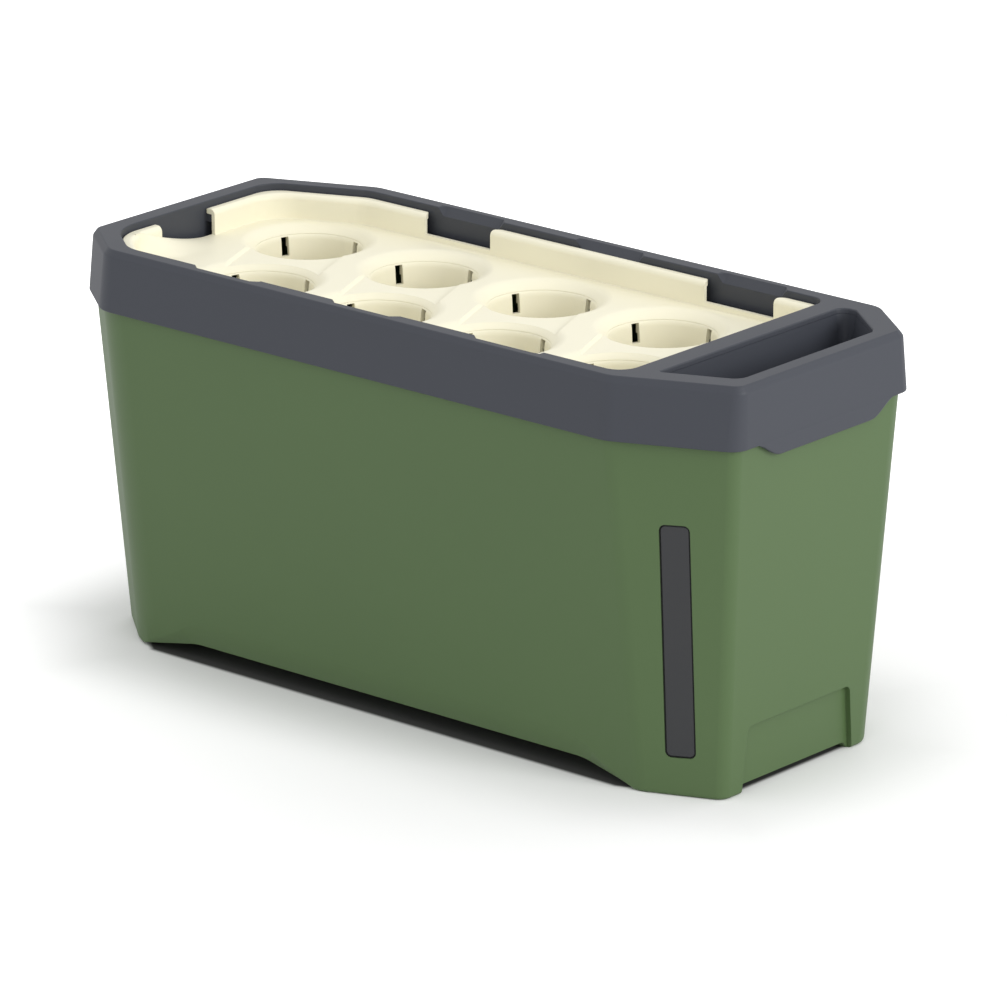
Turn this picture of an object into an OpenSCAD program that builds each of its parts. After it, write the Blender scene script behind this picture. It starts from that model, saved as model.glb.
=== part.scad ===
// Self-watering herb planter: a tapered green box that holds the water, a push-on
// rim collar with two grip lips and a filling trough, and a lift-out planting
// insert with eight wells. Origin at the middle of the footprint, on the ground.
// The box and the collar look the same after half a turn about the upright axis.

/* [Overall] */
// Length over the collar's lower edge
planter_length = 600; // [560:1:640]
// Width over the collar's lower edge
planter_width = 259; // [248:1:270]
// Height from the ground to the collar's top land
planter_height = 297; // [285:1:310]

/* [Plan corners] */
// Length of the long chamfer along the side
long_chamfer_run = 86.4; // [80:0.1:94]
// Width of the long chamfer across the end
long_chamfer_rise = 37.5; // [32:0.5:44]
// Length of the short chamfer along the side
short_chamfer_run = 46.6; // [40:0.1:56]
// Width of the short chamfer across the end
short_chamfer_rise = 36; // [30:1:43]
// Radius of the soft corner between a side and the long chamfer
corner_r_soft = 34; // [28:1:40]
// Radius of the corners at the ends
corner_r_end = 15; // [14:1:18]
// Radius of the box's corner between the short chamfer and the end
box_r_end = 25; // [20:1:30]
// Radius of the corner between a side and the short chamfer
corner_r_side = 26; // [20:1:32]
// Radius of the box's corner between a side and the short chamfer
box_r_side = 50; // [40:1:56]

/* [Box] */
// Inset of the box's foot from the collar at the ends
foot_inset_end = 12; // [8:0.5:20]
// Inset of the box's foot from the collar along the sides
foot_inset_side = 17; // [12:0.5:21]
// Length of the long chamfer along the side, at the ground
foot_long_run = 56; // [52:1:63]
// Width of the long chamfer across the end, at the ground
foot_long_rise = 23; // [20:0.5:28]
// Length of the short chamfer along the side, at the ground
foot_short_run = 53; // [48:1:58]
// Width of the short chamfer across the end, at the ground
foot_short_rise = 45.5; // [40:0.5:52]
// Thickness of the box wall
box_wall = 3.5; // [3:0.1:4]
// Thickness of the water floor over the arch
floor_wall = 5; // [4:0.1:6]
// Rounding of the bottom edge
foot_round = 3; // [2:0.5:4]
// Wall of the hollow feet
foot_wall = 5; // [4:0.5:6]

/* [Arch under the long sides] */
// Height of the arch above the ground
arch_height = 12; // [11:0.5:13]
// Reach of the arch past the foot's corner at the short chamfer
arch_past = 14; // [8:1:18]
// Length of the arch's ramp towards the long chamfer
arch_short_ramp = 53; // [44:1:60]
// Length of the arch's ramp towards the short chamfer
arch_long_ramp = 66; // [58:1:76]
// Height of the band where the wall curves in over the arch
tuck_height = 24; // [20:1:28]
// Depth of that curve at the arch's edge
tuck_depth = 5; // [4:0.5:8]

/* [Recess in each end] */
// Height of the recess above the ground
recess_height = 48; // [42:1:54]
// Height of the gap below the recessed panel
recess_lift = 5; // [4:0.5:7]
// Depth of the recess
recess_depth = 4; // [3:0.5:5]
// Distance from the recess to the foot's corner at the long chamfer
recess_margin_long = 19; // [15:0.5:22]
// Distance from the recess to the foot's corner at the short chamfer
recess_margin_short = 16; // [13:0.5:22]
// Draft of the recess sides from bottom to top
recess_draft = 5; // [2:0.5:8]
// Corner radius of the recess
recess_corner = 5; // [3:0.5:8]

/* [Collar] */
// Height of the collar
collar_height = 44.5; // [41:0.5:48]
// Height of the sloped edge round the land
bevel_height = 4.5; // [3.5:0.5:5.5]
// Width of the sloped edge along the sides
bevel_width = 3.4; // [3:0.1:4.2]
// Width of the sloped edge at the ends
bevel_width_end = 3.2; // [2.8:0.1:3.8]
// Draft of the skirt along the sides
skirt_draft = 3.8; // [3:0.1:4]
// Draft of the skirt at the ends
skirt_draft_end = 1; // [0.5:0.1:2]
// Thickness of the skirt
skirt_wall = 3.2; // [3:0.1:3.4]
// Thickness of the land
land_wall = 3.5; // [3:0.1:4]
// Overhang of the skirt past the box
collar_overhang = 4.5; // [4:0.1:4.8]
// Inset of the opening from the skirt along the sides
opening_inset_side = 18.5; // [17.5:0.1:19.5]
// Inset of the opening from the skirt at its end
opening_inset_end = 18; // [17:0.5:19]
// Inset of the opening from the skirt at the short chamfer
opening_inset_short = 21; // [18:0.5:23]
// Thickness of the inner skirt round the opening
inner_wall = 3; // [2.5:0.1:3]
// Height of the inner skirt
inner_skirt_height = 33; // [28:0.5:36]

/* [Grip lips] */
// Drop of the grip lip below the collar's lower edge
lip_drop = 11.5; // [9:0.5:14]
// Half width of the grip lip at its lower edge
lip_half_low = 49; // [42:1:54]
// Half width of the grip lip where it leaves the skirt
lip_half_high = 77; // [68:1:79]
// Shift of the grip lip towards the short chamfer
lip_shift = 3.5; // [0:0.5:4]

/* [Notches for a cover] */
// Number of notches along each side
notch_count = 3; // [1:1:3]
// Spacing of the notches
notch_pitch = 130; // [120:1:140]
// Shift of the notches towards the short chamfer
notch_shift = 17.3; // [12:0.1:20]
// Length of a notch at its foot
notch_length = 52; // [44:1:60]
// Depth of a notch
notch_depth = 6; // [4:0.5:7]
// Width of a notch in the land
notch_width = 5.8; // [4:0.1:6.2]
// Slope of a notch's ends
notch_slope = 7; // [4:0.5:9]

/* [Filling trough] */
// Distance from the end to the trough's far edge
trough_run = 68; // [64:1:74]
// Width of the partition between the trough and the opening
partition_width = 18; // [15:1:22]
// Inset of the trough from the end
trough_inset_end = 16; // [15:0.5:18]
// Inset of the trough from the chamfers and the side
trough_inset_side = 25; // [23:0.5:27]
// Depth of the trough below the land
trough_depth = 46; // [38:1:50]
// Draft of the trough's sides
trough_draft = 7; // [4:0.5:9]
// Thickness of the trough's walls
trough_wall = 2.8; // [2.5:0.1:3]
// Length of the filler hole in the trough's floor
filler_length = 60; // [40:1:80]
// Width of the filler hole
filler_width = 22; // [16:1:24]

/* [Planting insert] */
// Depth of the flange's upper face below the land
flange_drop = 4.8; // [3.5:0.1:6]
// Thickness of the flange
flange_wall = 4; // [3.5:0.1:4.5]
// Rounding of the flange's inner edge
flange_roll = 3.6; // [3:0.1:3.9]
// Gap between the flange and the opening
flange_gap = 1; // [0.8:0.1:1.2]
// Overhang of the flange past the insert's wall
flange_overhang = 5; // [4.5:0.1:5.5]
// Thickness of the insert's wall
insert_wall = 3; // [2.5:0.1:3.2]
// Depth of the deck below the flange's upper face
deck_drop = 18.8; // [16:0.1:21]
// Thickness of the deck
deck_wall = 3; // [2.5:0.1:3.5]
// Height of the sill left in each lifting gap
gap_sill = 4; // [3:0.5:5]
// Length of a lifting gap
gap_length = 62; // [52:1:66]
// Distance from the partition to the nearest gap's middle
gap_near_margin = 71.6; // [66:0.1:78]
// Distance from the opening's end to the other gap's middle
gap_far_margin = 163.7; // [157:0.1:170]
// Length of the pouring gap in the end wall
pour_gap_length = 55.7; // [46:0.1:60]
// Distance from the middle of the end wall to the pouring gap's middle
pour_gap_middle = 15.9; // [12:0.1:20]
// Rise of the pouring ramp at its high end
pour_rise = 10.5; // [6:0.5:12]
// Length of the pouring ramp
pour_run = 24; // [18:1:28]
// Height of the lugs that carry the flange
lug_height = 6; // [4:0.5:8]
// Length of a lug
lug_length = 18; // [12:1:24]

/* [Wells] */
// Wells in each row
wells_per_row = 4; // [4:1:4]
// Distance from the opening's end to the first well's axis
well_margin_end = 69.2; // [66:0.1:74]
// Distance from the partition to the last well's axis
well_margin_partition = 57.3; // [54:0.1:62]
// Distance from the opening's side to a row's axis
row_margin = 63.8; // [60:0.1:66]
// Shift of one row against the other
row_stagger = 38; // [30:0.5:42]
// Least width of the deck between two mouths
well_web = 9.8; // [8:0.1:12]
// Width of the mouth's slope
mouth_width = 8; // [6:0.5:9]
// Depth of the mouth's slope
mouth_depth = 6.8; // [6:0.1:8]
// Depth of a cup below its mouth's slope
cup_depth = 112; // [90:1:120]
// Draft of a cup from its mouth's slope to its floor
cup_draft = 10; // [8:0.5:12]
// Height of the socket that holds a cup under its mouth
socket_height = 9; // [7:0.5:12]
// Thickness of the socket
socket_wall = 1.8; // [1.5:0.1:2.2]
// Thickness of a cup
cup_wall = 2.5; // [2:0.1:3]
// Slots near the top of a cup
top_slots = 4; // [4:1:4]
// Width of a slot
slot_width = 6; // [5:0.1:7]
// Height of a slot
slot_height = 14; // [10:0.5:16]
// Turn of the slots about the cup
slot_turn = 70; // [60:1:80]
// Radius of the wick leg under a cup
leg_r = 14; // [12:0.5:17]
// Gap between the wick leg and the water floor
leg_gap = 5; // [3:0.5:8]
// Slots round a wick leg
leg_slots = 4; // [3:1:6]
// Height of a wick leg's slots
leg_slot_height = 60; // [40:1:80]
// Depth of the trench that joins two wells
trench_depth = 2.3; // [1.5:0.1:2.5]
// Half width of the trench at its floor
trench_half = 35; // [30:0.5:36]

/* [Water level window] */
// Height of the slot's lower edge above the ground
window_base = 28; // [26:0.5:32]
// Distance from the slot's upper edge to the collar
window_drop = 57; // [54:0.5:70]
// Width of the slot
window_width = 22; // [19:0.2:23]
// Corner radius of the slot
window_corner = 4.5; // [3:0.1:6]
// Gap between the window and the slot
window_gap = 0.5; // [0.4:0.1:0.8]
// Depth of the window's face below the wall
window_sink = 0.3; // [0.2:0.1:0.5]
// Thickness of the window's face
window_face = 3; // [2:0.1:3.5]
// Reach of the window's flange past the slot
window_flange = 3.8; // [3.5:0.1:4]
// Thickness of the window's flange
window_flange_wall = 2; // [1.8:0.1:2.4]
// Thickness of the seal
seal_wall = 1.5; // [1.2:0.1:1.8]
// Depth of the flat seat behind the wall
seat_depth = 7; // [6:0.1:8]
// Thickness of the clamp frame
frame_wall = 3; // [2.5:0.1:3.5]
// Reach of the clamp frame past the flange at its sides
frame_reach = 8; // [7.6:0.1:8.4]
// Reach of the clamp frame past the flange at its ends
frame_end_reach = 4.4; // [4:0.1:4.6]
// Screws along each side of the frame
screws_per_side = 3; // [3:1:4]
// Radius of a screw's shank
screw_r = 1.5; // [1.4:0.1:1.6]
// Radius of a screw's head
screw_head_r = 2.8; // [2.6:0.1:3]
// Thickness of a screw's head
screw_head = 1.8; // [1.5:0.1:2]
// Width of the float
float_width = 13; // [11:0.5:14]
// Depth of the float
float_depth = 9; // [8:0.5:11]
// Height of the float
float_height = 18; // [12:1:22]
// Thickness of the channel's walls
channel_wall = 2; // [1.6:0.1:2.4]

/* [Drain plug] */
// Height of the plug's axis above the ground
plug_height = 30; // [29:0.5:31]
// Radius of the plug's stem
plug_stem_r = 7; // [6:0.1:8]
// Length of the plug's stem
plug_stem = 13; // [11:0.5:15]
// Radius of the plug's head
plug_head_r = 12; // [11:0.5:13]
// Thickness of the plug's head
plug_head = 3; // [2.5:0.1:3.5]
// Height of the grip wing on the head
plug_grip = 4; // [3:0.5:5]

/* [Hidden] */
$fn = 40;

// A cut runs past a face by this much
over = 1;
// Clearance between loose pieces
clear = 0.3;
// Radial clearance of a sliding fit
slide_clear = 0.08;
// Steps of an arc at an outline's corner
corner_steps = 4;
// Smallest radius of an outline's corner
least_r = 0.5;

half_l = planter_length / 2;
half_w = planter_width / 2;
foot_half_l = half_l - foot_inset_end;
foot_half_w = half_w - foot_inset_side;
collar_base = planter_height - collar_height;
green = [0.33, 0.44, 0.25];
slate = [0.29, 0.30, 0.34];
cream = [0.95, 0.92, 0.80];
smoke = [0.16, 0.17, 0.18];
seal_black = [0.12, 0.12, 0.12];
steel = [0.75, 0.76, 0.78];
signal = [0.85, 0.35, 0.15];

// Outlines: each is convex and runs counter-clockwise, seen from above

function unit(v) = v / norm(v);
function lerp(a, b, share) = a + (b - a) * share;
function inward(a, b) = let(d = unit(b - a)) [-d[1], d[0]];
// Corner b of a-b-c with edge a-b moved in by s and edge b-c by t
function inset_corner(a, b, c, s, t) =
    let(m = inward(a, b), n = inward(b, c), d = m[0] * n[1] - m[1] * n[0])
    b + [s * n[1] - t * m[1], t * m[0] - s * n[0]] / d;
// The outline with edge i moved in by t[i]
function inset_edges(p, t) =
    let(n = len(p))
    [for (i = [0 : n - 1])
        inset_corner(p[(i + n - 1) % n], p[i], p[(i + 1) % n], t[(i + n - 1) % n], t[i])];
function inset_outline(p, t) = inset_edges(p, [for (q = p) t]);
function heading(v) = atan2(v[1], v[0]);
function turn_left(a, b) = let(d = b - a) d < 0 ? d + 360 : d;
// The outline with each corner as an arc
function rounded(p, radii) =
    let(n = len(p))
    [for (i = [0 : n - 1])
        let(a = p[(i + n - 1) % n], b = p[i], c = p[(i + 1) % n], r = max(radii[i], least_r),
            middle = inset_corner(a, b, c, r, r),
            from = heading(-inward(a, b)),
            sweep = turn_left(from, heading(-inward(b, c))))
        for (k = [0 : corner_steps])
            middle + r * [cos(from + sweep * k / corner_steps), sin(from + sweep * k / corner_steps)]];
function less(radii, t) = [for (r = radii) r - t];
function at_height(ring, z) = [for (q = ring) [q[0], q[1], z]];
function half_turn(p) = [for (q = p) -q];
// Place across at which edge a-b, moved in by t, stands at x
function edge_y(a, b, t, x) =
    let(q = a + t * inward(a, b)) q[1] + (x - q[0]) * (b[1] - a[1]) / (b[0] - a[0]);

// Eight corners of a plan with half-turn symmetry
function plan(reach, half, long_run, long_rise, short_run, short_rise) =
    let(p = [[reach - long_run, -half], [reach, long_rise - half],
        [reach, half - short_rise], [reach - short_run, half]])
    concat(p, half_turn(p));
// Insets of the eight edges
function edge_insets(side, end) = [side, end, side, side, side, end, side, side];
collar_radii = [corner_r_soft, corner_r_end, corner_r_end, corner_r_side,
    corner_r_soft, corner_r_end, corner_r_end, corner_r_side];
box_radii = [corner_r_soft, corner_r_end, box_r_end, box_r_side,
    corner_r_soft, corner_r_end, box_r_end, box_r_side];

skirt_plan = plan(half_l, half_w, long_chamfer_run, long_chamfer_rise,
    short_chamfer_run, short_chamfer_rise);
foot_plan = plan(foot_half_l, foot_half_w, foot_long_run, foot_long_rise, foot_short_run, foot_short_rise);
shoulder_plan = inset_outline(skirt_plan, collar_overhang);
shoulder_top = collar_base + clear;

function skirt_ring(side, end) =
    rounded(inset_edges(skirt_plan, edge_insets(side, end)), less(collar_radii, side));
function box_plan(z) = lerp(foot_plan, shoulder_plan, z / shoulder_top);
function box_ring(z, t) =
    at_height(rounded(inset_outline(box_plan(z), t), less(box_radii, collar_overhang + t)), z);

// A solid through rings of equally many points, each counter-clockwise, seen from the last one's side
module loft(rings) {
    n = len(rings[0]);
    last = len(rings) - 1;
    polyhedron(
        points = [for (ring = rings) for (q = ring) q],
        faces = concat(
            [[for (i = [0 : n - 1]) i]],
            [for (j = [0 : last - 1]) for (i = [0 : n - 1])
                let(k = (i + 1) % n) [j * n + i, (j + 1) * n + i, (j + 1) * n + k]],
            [for (j = [0 : last - 1]) for (i = [0 : n - 1])
                let(k = (i + 1) % n) [j * n + i, (j + 1) * n + k, j * n + k]],
            [[for (i = [n - 1 : -1 : 0]) last * n + i]]));
}
module both_ends() {
    children();
    rotate(180) children();
}
function rectangle(w, h) = [[-w / 2, -h / 2], [w / 2, -h / 2], [w / 2, h / 2], [-w / 2, h / 2]];
// A plate with round corners whose upper face is at height 0
module plate(w, h, r, t) {
    translate([0, 0, -t]) linear_extrude(t) polygon(rounded(rectangle(w, h), [r, r, r, r]));
}

// Box

skirt_inner = skirt_draft + skirt_wall;
neck_outer = skirt_inner + 2 * clear;
neck_inner = neck_outer + box_wall;
land_underside = planter_height - land_wall;
neck_foot = shoulder_top - 2 * box_wall;
floor_top = arch_height + floor_wall;
foot_round_steps = 3;

function neck_ring(t, z) = at_height(skirt_ring(t, t), z);
module box_outside() {
    loft(concat(
        [for (k = [0 : foot_round_steps])
            let(a = 90 * k / foot_round_steps)
            box_ring(foot_round * (1 - cos(a)), foot_round * (1 - sin(a)))],
        [box_ring(shoulder_top, 0)]));
    loft([neck_ring(neck_outer, neck_foot), neck_ring(neck_outer, land_underside)]);
}
module box_inside() {
    loft([box_ring(floor_top, box_wall), box_ring(neck_foot, box_wall),
        neck_ring(neck_inner, shoulder_top), neck_ring(neck_inner, land_underside + over)]);
}

// The arch's outline seen from the front, lifted and spread, as a ring at y
arch_round = 60;
arch_near = foot_half_l - foot_long_run;
arch_far = foot_half_l - foot_short_run + arch_past;
function arch_ring(left, left_ramp, right, right_ramp, lift, spread, y) =
    [for (q = rounded([[-left - spread, -over], [right + spread, -over],
            [right - right_ramp + spread, arch_height + lift],
            [left_ramp - left - spread, arch_height + lift]],
            [0, 0, arch_round, arch_round]))
        [q[0], y, q[1]]];
function front_arch(lift, spread, y) =
    arch_ring(arch_far, arch_long_ramp, arch_near, arch_short_ramp, lift, spread, y);
function back_arch(lift, spread, y) =
    arch_ring(arch_near, arch_short_ramp, arch_far, arch_long_ramp, lift, spread, y);
side_lean = (foot_inset_side - collar_overhang) / shoulder_top;
tuck_face = foot_half_w + side_lean * (arch_height + tuck_height);
tuck_r = (tuck_height * tuck_height + tuck_depth * tuck_depth) / (2 * tuck_depth);
tuck_sweep = asin(tuck_height / tuck_r);
tuck_steps = 5;
// The wall's curve in over the arch on the front, with the space grown by t
module tuck(t) {
    loft(concat(
        [for (k = [tuck_steps : -1 : 0])
            let(a = tuck_sweep * k / tuck_steps)
            front_arch(tuck_height - tuck_r * sin(a) + t, t, tuck_r * (1 - cos(a)) - tuck_face + t)],
        [front_arch(tuck_height + t, t, -tuck_face - box_wall)]));
}
module arch_tunnel() {
    y = tuck_face - tuck_depth + over;
    loft([back_arch(0, 0, y), front_arch(0, 0, -y)]);
}

recess_low = recess_margin_long + foot_long_rise - foot_half_w;
recess_high = foot_half_w - foot_short_rise - recess_margin_short;
recess_middle = (recess_low + recess_high) / 2;
end_lean = (foot_inset_end - collar_overhang) / shoulder_top;
function end_x(z) = foot_half_l + end_lean * z;
// The recess at the +X end, as a block that leans with the wall
module recess(depth, grow, top) {
    multmatrix([[1, 0, end_lean, foot_half_l - depth], [0, 1, 0, 0], [0, 0, 1, 0], [0, 0, 0, 1]])
        rotate([90, 0, 90]) linear_extrude(depth + over)
            polygon(rounded([[recess_low - grow, -over], [recess_high + grow, -over],
                [recess_high - recess_draft + grow, top + grow],
                [recess_low + recess_draft - grow, top + grow]],
                [0, 0, recess_corner, recess_corner]));
}
// The two feet's places at the +X end: the arch reaches further on the back
module feet_room() {
    near = arch_near + foot_wall;
    far = arch_far + foot_wall;
    translate([near, -half_w, -2 * over]) cube([half_l, half_w, planter_height]);
    translate([far, -over, -2 * over]) cube([half_l, half_w, planter_height]);
}
// The space inside the two feet at the +X end, with a rib beside each foot
module feet_hollow() {
    difference() {
        intersection() {
            loft([at_height(box_ring(foot_round, foot_wall), -over),
                at_height(box_ring(foot_round, foot_wall), arch_height)]);
            feet_room();
        }
        recess(recess_depth + foot_wall, foot_wall, recess_height);
        for (side = [recess_low, recess_high])
            translate([arch_near, side - box_wall / 2, -2 * over])
                cube([half_l, box_wall, arch_height + 3 * over]);
    }
}
module planter_body() color(green) {
    difference() {
        union() {
            difference() {
                box_outside();
                difference() {
                    box_inside();
                    both_ends() tuck(box_wall);
                    both_ends() recess(recess_depth + box_wall, box_wall, recess_height);
                }
                both_ends() tuck(0);
                both_ends() recess(recess_depth, 0, recess_height);
                both_ends() recess(recess_depth + 2 * foot_wall, 0, recess_lift);
                arch_tunnel();
                both_ends() feet_hollow();
            }
            window_seat();
            plug_pad();
        }
        window_hole();
        frame_screw_places() pilot_hole();
        plug_hole();
    }
}

// Water level window, in the long chamfer at the +X end. There x runs across the
// chamfer, y up its middle line and z out of it, from the wall's face at the slot's middle.

function flat_3d(q, z) = [q[0], q[1], z];
function chamfer_middle(z) = let(p = box_plan(z)) flat_3d((p[0] + p[1]) / 2, z);
window_height = collar_base - window_base - window_drop;
window_middle_z = window_base + window_height / 2;
chamfer_origin = chamfer_middle(window_middle_z);
chamfer_level = let(p = box_plan(window_middle_z)) flat_3d(p[1] - p[0], 0);
chamfer_up = unit(chamfer_middle(window_base + window_height) - chamfer_middle(window_base));
chamfer_out = unit(cross(chamfer_level, chamfer_up));
chamfer_along = cross(chamfer_up, chamfer_out);
echo(float_slide = chamfer_up);
module on_chamfer() {
    multmatrix([for (i = [0 : 2])
        [chamfer_along[i], chamfer_up[i], chamfer_out[i], chamfer_origin[i]]])
        children();
}
flange_w = window_width + 2 * window_flange;
flange_h = window_height + 2 * window_flange;
frame_w = flange_w + 2 * frame_reach;
frame_h = flange_h + 2 * frame_end_reach;
seal_back = seat_depth + seal_wall;
flange_back = seal_back + window_flange_wall;
frame_back = flange_back + frame_wall;
flange_corner = window_corner + window_flange;

module window_seat() {
    on_chamfer() translate([0, 0, -box_wall / 2])
        plate(frame_w, frame_h, box_wall, seat_depth - box_wall / 2);
}
module window_hole() {
    on_chamfer() translate([0, 0, over + box_wall])
        plate(window_width, window_height, window_corner, seat_depth + box_wall + 2 * over);
}
module frame_screw_places() {
    step = (window_height - 2 * window_flange) / (screws_per_side - 1);
    on_chamfer()
        for (side = [-1, 1], i = [0 : screws_per_side - 1])
            translate([side * (flange_w + frame_reach) / 2, (i - (screws_per_side - 1) / 2) * step, 0])
                children();
}
module pilot_hole() {
    translate([0, 0, -seat_depth - over])
        cylinder(r = screw_r + slide_clear, h = seat_depth - box_wall / 2 + over);
}
module level_window() color(smoke) {
    w = window_width - 2 * window_gap;
    h = window_height - 2 * window_gap;
    edge = window_face - window_gap;
    on_chamfer() difference() {
        union() {
            translate([0, 0, -window_sink])
                plate(w, h, window_corner - window_gap, flange_back - window_sink);
            translate([0, 0, -seal_back]) plate(flange_w, flange_h, flange_corner, window_flange_wall);
        }
        translate([0, 0, -window_sink - window_face])
            plate(w - 2 * edge, h - 2 * edge, window_corner - window_gap, flange_back);
    }
}
module window_seal() color(seal_black) {
    on_chamfer() translate([0, 0, -seat_depth]) difference() {
        plate(flange_w, flange_h, flange_corner, seal_wall);
        translate([0, 0, over]) plate(window_width, window_height, window_corner, seal_wall + 2 * over);
    }
}
channel_half = float_width / 2 + slide_clear;
channel_depth = float_depth + 2 * clear;
module window_frame() color(slate) {
    difference() {
        on_chamfer() {
            translate([0, 0, -seat_depth - clear])
                plate(frame_w, frame_h, box_wall, frame_back - seat_depth - clear);
            translate([0, 0, -frame_back + over])
                plate(2 * (channel_half + channel_wall), frame_h, 0, channel_depth + channel_wall + over);
        }
        on_chamfer() {
            translate([0, 0, -seat_depth + over])
                plate(flange_w + 2 * clear, flange_h + 2 * clear, flange_corner + clear,
                    flange_back - seat_depth + over);
            translate([0, 0, -flange_back + over])
                plate(2 * channel_half, window_height, 0, frame_wall + channel_depth + over);
            translate([0, 0, -frame_back - channel_depth + over])
                plate(float_width - 2 * channel_wall, window_height, 0, channel_wall + 2 * over);
        }
        frame_screw_places() translate([0, 0, -frame_back - over])
            cylinder(r = screw_r + slide_clear, h = frame_back);
    }
}
module frame_screws() color(steel) {
    frame_screw_places() {
        translate([0, 0, -frame_back]) cylinder(r = screw_r, h = frame_back - box_wall);
        translate([0, 0, -frame_back - screw_head]) cylinder(r = screw_head_r, h = screw_head);
    }
}
module level_float() color(signal) {
    on_chamfer() translate([0, (float_height - window_height) / 2 + clear, -frame_back - clear])
        plate(float_width, float_height, 0, float_depth);
}

// Drain plug, in the recess of the -X end

plug_face = end_x(plug_height) - recess_depth - over;
module at_plug(x) {
    rotate(180) translate([x, recess_middle, plug_height]) rotate([0, 90, 0]) children();
}
module plug_pad() {
    h = plug_stem - 2 * over;
    at_plug(plug_face - plug_stem + over) {
        cylinder(r = plug_head_r, h = h);
        translate([0, -plug_stem_r, 0]) cube([plug_height - floor_top + over, 2 * plug_stem_r, h]);
    }
}
module plug_hole() {
    at_plug(plug_face - plug_stem - box_wall)
        cylinder(r = plug_stem_r + slide_clear, h = plug_stem + 2 * box_wall);
    at_plug(plug_face) cylinder(r = plug_head_r + over, h = recess_depth + over);
}
module drain_plug() color(slate) {
    at_plug(plug_face - plug_stem) cylinder(r = plug_stem_r, h = plug_stem + seal_wall + over);
    at_plug(plug_face + seal_wall) cylinder(r = plug_head_r, h = plug_head);
    at_plug(plug_face + seal_wall + plug_head - over) translate([0, 0, (plug_grip + over) / 2])
        cube([2 * (plug_head_r - over), plug_grip, plug_grip + over], center = true);
}
module plug_seal() color(seal_black) {
    at_plug(plug_face) difference() {
        cylinder(r = plug_head_r, h = seal_wall);
        translate([0, 0, -over]) cylinder(r = plug_stem_r + slide_clear, h = seal_wall + 2 * over);
    }
}

// Collar

bevel_base = planter_height - bevel_height;
land_inset = skirt_draft + bevel_width;
land_inset_end = skirt_draft_end + bevel_width_end;
land_core = planter_height - land_wall / 2;
partition_far = half_l - trough_run;
partition_near = partition_far - partition_width;
opening_end = opening_inset_end - half_l;
opening_half = half_w - opening_inset_side;
opening_radii = [15, 12, 28, 24, 38, 30];
// Insets of the opening's edges, moved in by t
function opening_insets(t) =
    let(side = opening_inset_side + t, end = opening_inset_end + t)
    [side, end, side, side, side, end, opening_inset_short + t, side];
// The opening, moved in by t, cut off square at the partition
function opening_like(t, z, radii) =
    let(p = inset_edges(skirt_plan, opening_insets(t)), x = partition_near - t, y = opening_half - t)
    at_height(rounded([[x, -y], [x, y], p[4], p[5], p[6], p[7]], less(radii, t)), z);
function opening_ring(t, z) = opening_like(t, z, opening_radii);
trough_radii = [1.2, 11, 11, 6, 8];
trough_least_r = 1.5;
// The trough, moved in by t
function trough_ring(t, z) =
    let(p = inset_edges(skirt_plan, edge_insets(trough_inset_side + t, trough_inset_end + t)),
        x = partition_far + t)
    at_height(rounded([[x, edge_y(skirt_plan[0], skirt_plan[1], trough_inset_side + t, x)],
        p[1], p[2], p[3], [x, half_w - trough_inset_side - t]],
        [for (r = trough_radii) max(r - t, trough_least_r)]), z);
trough_floor = planter_height - trough_depth;

lip_steps = 6;
// A flank of the grip lip: x across, y up from its lower edge
lip_flank = [for (k = [0 : lip_steps])
    [lerp(lip_half_low, lip_half_high, k / lip_steps), lip_drop * (1 - cos(180 * k / lip_steps)) / 2]];
module grip_lip() {
    translate([half_l - skirt_wall, lip_shift, collar_base - lip_drop]) rotate([90, 0, 90])
        linear_extrude(skirt_wall)
            polygon(concat(lip_flank, [[lip_half_high, lip_drop + over], [-lip_half_high, lip_drop + over]],
                [for (k = [lip_steps : -1 : 0]) [-lip_flank[k][0], lip_flank[k][1]]]));
}
module notches() {
    foot = planter_height - notch_depth;
    half = notch_length / 2;
    top = planter_height + over;
    for (i = [0 : notch_count - 1])
        translate([(i - (notch_count - 1) / 2) * notch_pitch - notch_shift, 0, 0])
            loft([for (q = [[opening_half - over, foot - over], [opening_half + notch_width, planter_height]])
                [[-half, -q[0], q[1]], [half, -q[0], q[1]],
                    [half + notch_slope, -q[0], top], [-half - notch_slope, -q[0], top]]]);
}
// Middles of the two lifting gaps on the back, and the middle of the rows of wells
gap_places = [partition_near - gap_near_margin, opening_end + gap_far_margin];
rows_x = (opening_end + well_margin_end + partition_near - well_margin_partition) / 2;
module on_both_sides() {
    children();
    translate([2 * rows_x, 0, 0]) rotate(180) children();
}
// Lugs on the inner skirt that carry the insert's flange, two beside each gap. They are
// moulded with the collar, and so is the trough's basin under the land.
lug_top = planter_height - flange_drop - flange_wall;
module lug() {
    translate([-lug_length / 2, -over, -lug_height])
        cube([lug_length, flange_gap + flange_overhang - clear + over, lug_height]);
}
module flange_lugs() color(slate) {
    intersection() {
        translate([0, 0, lug_top]) {
            on_both_sides() for (x = gap_places, side = [-1, 1])
                translate([x + side * (gap_length / 2 + lug_length), opening_half, 0]) rotate(180) lug();
            for (side = [-1, 1]) {
                translate([opening_end, side * (pour_gap_length + lug_length + over) / 2 - pour_gap_middle, 0])
                    rotate(-90) lug();
                translate([partition_near, side * opening_half / 2, 0]) rotate(90) lug();
            }
        }
        loft([opening_ring(0, lug_top - lug_height - over), opening_ring(0, lug_top + over)]);
    }
}
module trough_inside() {
    loft([trough_ring(trough_draft, trough_floor), trough_ring(0, planter_height),
        trough_ring(0, planter_height + over)]);
}
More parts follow.
